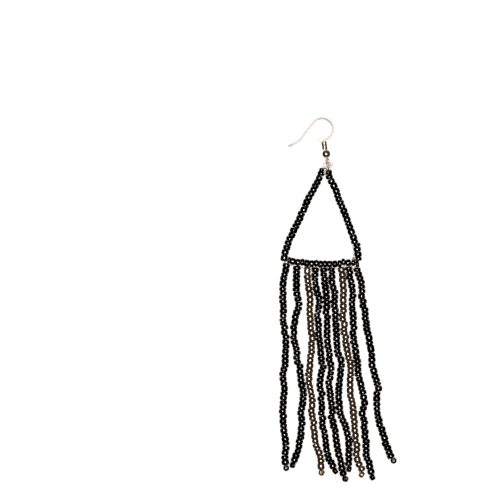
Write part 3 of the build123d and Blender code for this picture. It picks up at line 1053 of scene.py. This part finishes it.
@dataclass
class Studio:
    """The table, the light and the camera, which looks straight down."""

    picture_width: float = 180.0 * MM
    picture_middle: tuple = (FOOT[0] - 26.352 * MM, FOOT[1] + 4.68 * MM)
    camera_height: float = 1.2
    sensor: float = 36.0
    clip: tuple = (0.01, 20.0)
    lamp_height: float = 1.6
    lamp_radius: float = 0.35
    lamp_power: float = 33.5
    lamp_colour: tuple = (1.0, 0.965, 0.92)
    table_reach: float = 3.0
    table_roughness: float = 0.9
    table_colour: tuple = (0.92, 0.92, 0.92)
    room_stops: tuple = ((0.44, (0.008, 0.007, 0.006)), (0.54, (0.006, 0.0055, 0.005)))
    backdrop: tuple = (1.0, 1.0, 1.0)

    def place_camera(self) -> None:
        """Puts the camera over the middle of the picture."""
        lens = bpy.data.cameras.new("camera")
        lens.sensor_width = self.sensor
        lens.lens = self.sensor * self.camera_height / self.picture_width
        lens.clip_start, lens.clip_end = self.clip
        camera = new_object("camera", lens)
        camera.location = (*self.picture_middle, self.camera_height)
        bpy.context.scene.camera = camera

    def lay_table(self) -> None:
        """Lays a white table top."""
        corners = np.array([(-1, -1, 0), (1, -1, 0), (1, 1, 0), (-1, 1, 0)]) * self.table_reach
        mesh = bpy.data.meshes.new("table_top")
        mesh.from_pydata(corners.tolist(), [], [(0, 1, 2, 3)])
        shader = Shader("white_table")
        set_inputs(shader.surface, Roughness=self.table_roughness, Specular_IOR_Level=0.0)
        set_inputs(shader.surface, Base_Color=(*self.table_colour, 1.0))
        mesh.materials.append(shader.material)
        top = new_object("table_top", mesh)
        top.visible_glossy = False

    def hang_lamp(self) -> None:
        """Hangs a round soft lamp over the table, out of the camera's sight."""
        light = bpy.data.lights.new("round_lamp", "AREA")
        light.shape = "DISK"
        light.size = 2 * self.lamp_radius
        light.energy = self.lamp_power
        light.color = self.lamp_colour
        lamp = new_object("round_lamp", light)
        lamp.location = (*self.picture_middle, self.lamp_height)
        lamp.visible_camera = False

    def tint_surroundings(self) -> None:
        """Makes the room nearly black, but white where the camera sees it past the table."""
        world = bpy.data.worlds.new("room")
        world.use_nodes = True
        nodes, links = world.node_tree.nodes, world.node_tree.links
        place = nodes.new("ShaderNodeTexCoord")
        split = nodes.new("ShaderNodeSeparateXYZ")
        ramp = nodes.new("ShaderNodeValToRGB")
        spread = nodes.new("ShaderNodeMapRange")
        set_inputs(spread, From_Min=-1.0)
        links.new(place.outputs["Generated"], split.inputs["Vector"])
        links.new(split.outputs["Z"], spread.inputs["Value"])
        links.new(spread.outputs["Result"], ramp.inputs["Fac"])
        set_stops(ramp, self.room_stops)
        rays = nodes.new("ShaderNodeLightPath")
        seen = nodes.new("ShaderNodeMix")
        seen.data_type = "RGBA"
        seen.inputs[MIX_OVER].default_value = (*self.backdrop, 1.0)
        links.new(rays.outputs["Is Camera Ray"], seen.inputs["Factor"])
        links.new(ramp.outputs["Color"], seen.inputs[MIX_UNDER])
        links.new(seen.outputs[MIX_RESULT], nodes["Background"].inputs["Color"])
        bpy.context.scene.world = world

    def set_up(self) -> None:
        """Sets up the whole studio."""
        self.place_camera()
        self.lay_table()
        self.hang_lamp()
        self.tint_surroundings()
        bpy.context.scene.view_settings.view_transform = "Standard"
        log.info("studio ready")


def dress(node: str, finish: Material) -> None:
    """Gives a node of the frame a finish.

    Args:
        node: the node's name.
        finish: its new material.
    """
    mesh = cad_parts[node].data
    mesh.materials.clear()
    mesh.materials.append(finish)


@dataclass
class EndTie:
    """The thread that ties a strand's last bead on: over its near wall, through its bore and back.

    The lead is the length laid along the strand. The mouth is how far from the bead's middle the thread
    leaves the bore, and it rounds the wall that is the rise away, at a share of the mouth to the side.
    """

    lead: float = 0.8 * MM
    mouth: float = 1.05 * MM
    rise: float = 1.02 * MM
    rounding: float = 0.9
    radius: float = NYLON * 0.42
    least_height: float = NYLON * 0.6
    sides: int = 8
    rings: int = 60
    tilt: float = 0.37

    def build(self, row: BeadString, node: str, turn: float, lean: float, finish: Material) -> None:
        """Makes the thread.

        Args:
            row: the strand.
            node: the last bead's node in the frame.
            turn: how far its bore is turned about the strand, in degrees.
            lean: how far its bore leans along the strand, in degrees.
            finish: the thread's finish.
        """
        low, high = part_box(node)
        middle = (np.array(low) + np.array(high)) / 2
        last = level_points(row.route[-2:], row.run)
        heading = unit(last[1] - last[0])
        across = np.cross(UP, heading)
        turn, lean = np.radians([turn, lean])
        spoke = across * np.cos(turn) + np.cross(heading, across) * np.sin(turn)
        mouth = (spoke * np.cos(lean) + heading * np.sin(lean)) * self.mouth
        start = last[1] - heading * self.lead
        wall = middle - heading * self.rise
        beside = mouth * self.rounding
        there = [start, last[1], wall + beside, middle + mouth]
        back = [middle - mouth, wall - beside, last[1], start]
        points = np.array([*there, middle, *back])
        points[:, 2] = points[:, 2].clip(self.least_height)
        reference = heading + UP * self.tilt
        surface = thread_surface(Line(points), self.radius, self.sides, self.rings, reference)
        tie = piece(f"{row.name}_tie", *surface, finish)


@dataclass
class BeadWork:
    """The triangle and the nine hanging strands."""

    finishes: Finishes
    triangle_seed: int = 11
    strand_seed: int = 21
    rounds: int = 120
    push_share: float = 0.3

    def string(self, name: str, route: tuple, run: Run, seed: int) -> BeadString:
        """One string with the glass, the girth and the calm of its kind.

        Args:
            name: its name, which is also its node's.
            route: its route, as level_points reads it.
            run: which way it runs.
            seed: the seed of its random draws.

        Returns:
            The string, not yet laid out.
        """
        glass = Glass.BRONZE if name in BRONZE_STRANDS else Glass.JET
        girth = BRONZE_GIRTH if glass is Glass.BRONZE else JET_GIRTH
        if run is Run.ACROSS:
            girth = BAR_GIRTH
        calm = STRAND_CALM if run is Run.DOWN else TRIANGLE_CALM
        return BeadString(name, route, run, glass, seed, girth, ODD_BEADS[name], calm)

    def strings(self) -> list:
        """Describes every string.

        Returns:
            The strings of the triangle, then the strands from left to right.
        """
        seed = self.triangle_seed
        triangle = [
            self.string("side_left", SIDE_LEFT_ROUTE, Run.UP, seed),
            self.string("side_right", SIDE_RIGHT_ROUTE, Run.UP, seed + 1),
            self.string("cross_bar", CROSS_BAR_ROUTE, Run.ACROSS, seed + 2),
        ]
        strands = [
            self.string(f"fringe_{place + 1}", route, Run.DOWN, self.strand_seed + place)
            for place, route in enumerate(FRINGE_ROUTES)
        ]
        return triangle + strands

    def part_neighbours(self, rows: list) -> None:
        """Moves beads of different strings apart until they hardly overlap.

        Each pair that is nearer than the sum of the two beads' reaches is pushed apart by a share of what is
        missing, over and over.

        Args:
            rows: the strings, already laid out.
        """
        counts = [len(row.centre) for row in rows]
        cuts = np.cumsum(counts)[:-1]
        owner = np.repeat(np.arange(len(rows)), counts)
        centre = np.concatenate([row.centre for row in rows])
        for _ in range(self.rounds):
            between = centre[:, None, :] - centre[None, :, :]
            between[..., 2] = 0.0
            distance = np.linalg.norm(between, axis=2) + NEVER_ZERO
            way = between / distance[..., None]
            reach = np.concatenate([row.reach(part) for row, part in zip(rows, np.split(way, cuts))])
            missing = np.where(owner[:, None] != owner[None, :], reach + reach.T - distance, 0.0).clip(0.0)
            centre += (way * missing[..., None]).sum(axis=1) * self.push_share
        for row, part in zip(rows, np.split(centre, cuts)):
            row.centre = part

    def build(self) -> None:
        """Makes every string, and ties the last beads on and dresses them."""
        rows = self.strings()
        for row in rows:
            row.lay_out()
        self.part_neighbours(rows)
        for row in rows:
            row.make_room()
            row.build(self.finishes)
        for row, turns in zip(rows[-len(FRINGE_ROUTES):], END_BEAD_TURNS):
            node = row.name.replace("fringe", "end_bead")
            EndTie().build(row, node, *turns, self.finishes.darker_nylon)
            dress(node, self.finishes.glass(row.glass))


@dataclass
class Threadwork:
    """The bare nylon thread: under the bar, at the two corners, and where it is tied."""

    finishes: Finishes
    width: float = 0.34 * MM
    wisp_width: float = NYLON * 0.7
    sides: int = 8
    ring_step: float = 0.8
    least_rings: int = 8
    reference: tuple = (0.21, 0.13, 1.0)
    knot_turns: float = 4.5
    points_per_turn: int = 10
    rings_per_point: int = 3
    taper: float = 0.9

    def lay(self, name: str, route: tuple, width: float, finish: Material) -> None:
        """Makes one run of thread.

        Args:
            name: the piece's name.
            route: (across, up, height over the table) for each point, in bead diameters from the foot.
            width: the thread's diameter.
            finish: its finish.
        """
        line = Line(placed_points(route))
        steps = int(line.length / (width * self.ring_step)) + self.least_rings
        surface = thread_surface(line, width / 2, self.sides, steps, np.array(self.reference))
        self.keep(name, surface, finish)

    def keep(self, name: str, surface: tuple, finish: Material) -> None:
        """Makes a piece of a thread's surface.

        Args:
            name: the piece's name.
            surface: the thread's vertices and faces.
            finish: its finish.
        """
        made = piece(name, *surface, finish)
        log.info("%s laid", name)

    def wrap(self, knot: Knot, finish: Material) -> None:
        """Makes a knot, as a helix of thread that lies round a level line.

        The helix is widest at its waist, and narrows with the square of the distance from there.

        Args:
            knot: the knot.
            finish: its thread's finish.
        """
        way = unit(np.array(knot.heading))
        side = unit(np.cross(way, UP))
        count = int(self.knot_turns * self.points_per_turn) + 1
        run = np.linspace(-0.5, 0.5, count)
        angle = run * self.knot_turns * 2.0 * np.pi
        swell = knot.radius * (1.0 - self.taper * run**2)
        controls = (
            placed_points((knot.middle,))[0]
            + (run * self.knot_turns * knot.pitch)[:, None] * way
            + (swell * np.cos(angle))[:, None] * side
            + (swell * np.sin(angle))[:, None] * UP
        )
        rings = count * self.rings_per_point
        surface = thread_surface(Line(controls), self.width / 2, self.sides, rings, way)
        self.keep(knot.name, surface, finish)

    def build(self) -> None:
        """Makes every run of thread and both knots."""
        for name, route in THREAD_ROUTES.items():
            width = self.wisp_width if name.endswith("wisp") else self.width
            # The apex threads get the nearly black nylon, painted shade between the strings' top beads.
            finish = self.finishes.painted_shade_nylon if name.startswith("apex") else self.finishes.nylon
            self.lay(name, route, width, finish)
        self.wrap(CORNER_KNOT, self.finishes.darker_nylon)
        self.wrap(APEX_KNOT, self.finishes.nylon)


def dress_ear_wire(finishes: Finishes) -> None:
    """Gives each piece of the ear wire its plating, and the thread through the ring its nylon.

    Args:
        finishes: the earring's finishes.
    """
    dress("ear_hook", finishes.hook)
    dress("jump_ring", finishes.ring)
    dress("hook_coil", finishes.coil)
    dress("hook_ball", finishes.ball)
    dress("apex_thread", finishes.nylon)
    log.info("ear wire dressed")


def main() -> None:
    """Builds the scene in order."""
    logging.basicConfig(level=logging.INFO, format="%(name)s: %(message)s")
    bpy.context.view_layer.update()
    Studio().set_up()
    finishes = Finishes()
    BeadWork(finishes).build()
    Threadwork(finishes).build()
    dress_ear_wire(finishes)


if __name__ == "__main__":
    main()
